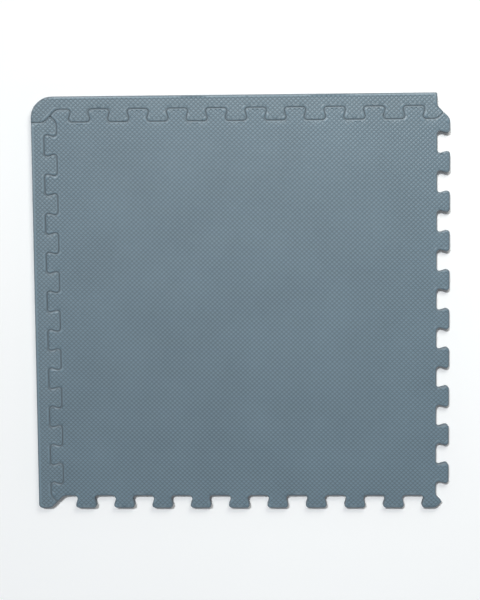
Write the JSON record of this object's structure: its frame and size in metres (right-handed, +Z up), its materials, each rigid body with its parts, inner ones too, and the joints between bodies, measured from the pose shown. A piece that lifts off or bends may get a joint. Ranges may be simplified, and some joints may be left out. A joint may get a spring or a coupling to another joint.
{
  "type": "blocking mat",
  "caption": "Square interlocking foam blocking mat with dovetail teeth, and edging strips on two sides that make straight edges and one rounded corner.",
  "frame": {"origin": "middle of the mat's module square (halfway between tooth roots and heads on all four sides), on the underside, where the mat lies on the table or floor", "axes": "+Z up through the thickness, from the underside to the embossed working face; +Y towards the back edging strip, which carries the rounded corner; -X towards the straight edging strip; the toothed sides are +X and -Y"},
  "size_m": [0.6496, 0.6496, 0.012],
  "materials": {
    "mat_foam": "matt embossed closed-cell EVA foam, slate blue-grey",
    "edging_foam": "matt embossed closed-cell EVA foam, slate blue-grey"
  },
  "bodies": {
    "mat": {"foam_mat": "mat_foam"},
    "corner_strip": {"corner_edging_strip": "edging_foam"},
    "straight_strip": {"straight_edging_strip": "edging_foam"}
  },
  "joints": [
    {"name": "corner_strip_lift", "type": "slide", "parent": "mat", "child": "corner_strip", "axis": [0, 0, 1], "range_m": [0, 0.02]},
    {"name": "straight_strip_lift", "type": "slide", "parent": "mat", "child": "straight_strip", "axis": [0, 0, 1], "range_m": [0, 0.02]}
  ]
}
